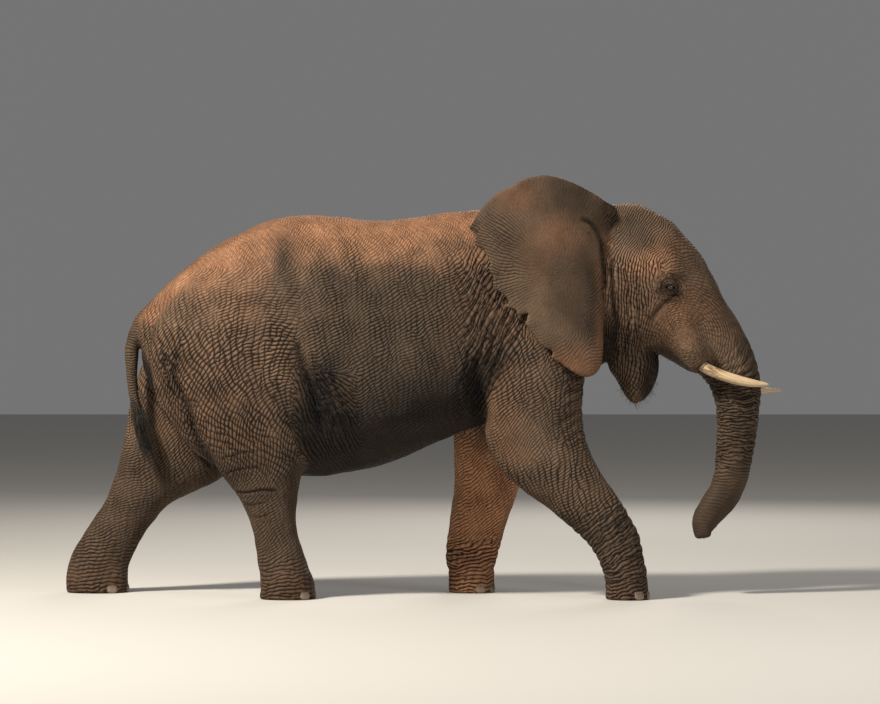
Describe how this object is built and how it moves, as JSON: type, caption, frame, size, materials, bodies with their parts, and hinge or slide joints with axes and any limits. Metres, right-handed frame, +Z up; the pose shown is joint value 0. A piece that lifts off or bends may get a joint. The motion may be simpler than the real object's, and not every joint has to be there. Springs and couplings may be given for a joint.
{
  "type": "elephant",
  "caption": "Life-size still model of an adult African elephant walking, trunk hanging with its tip curled back and ears laid along the neck.",
  "frame": {"origin": "on the floor under the middle of the bounding box", "axes": "+X from tail to head, +Y towards the animal's left flank, +Z up"},
  "size_m": [4.564, 1.0716, 2.6289],
  "materials": {
    "skin": "dry wrinkled grey-brown hide, dusted with red-brown earth on the back and head",
    "eye": "wet, dark amber-brown",
    "tusk": "satin ivory, stained and lightly cracked towards the root",
    "nail": "dull horn, dusty",
    "hair": "coarse black bristles"
  },
  "bodies": {
    "root": {"torso": "skin", "neck": "skin", "head": "skin", "jaw": "skin", "trunk_upper": "skin", "trunk_middle": "skin", "trunk_lower": "skin", "trunk_tip": "skin", "ear_right": "skin", "ear_left": "skin", "tail": "skin", "foreleg_right_upper": "skin", "foreleg_right_lower": "skin", "foreleg_right_foot": "skin", "foreleg_left_upper": "skin", "foreleg_left_lower": "skin", "foreleg_left_foot": "skin", "hindleg_right_upper": "skin", "hindleg_right_lower": "skin", "hindleg_right_foot": "skin", "hindleg_left_upper": "skin", "hindleg_left_lower": "skin", "hindleg_left_foot": "skin", "eye_right": "eye", "eye_left": "eye", "tusk_right": "tusk", "tusk_left": "tusk", "tail_tuft": "hair"}
  },
  "joints": []
}
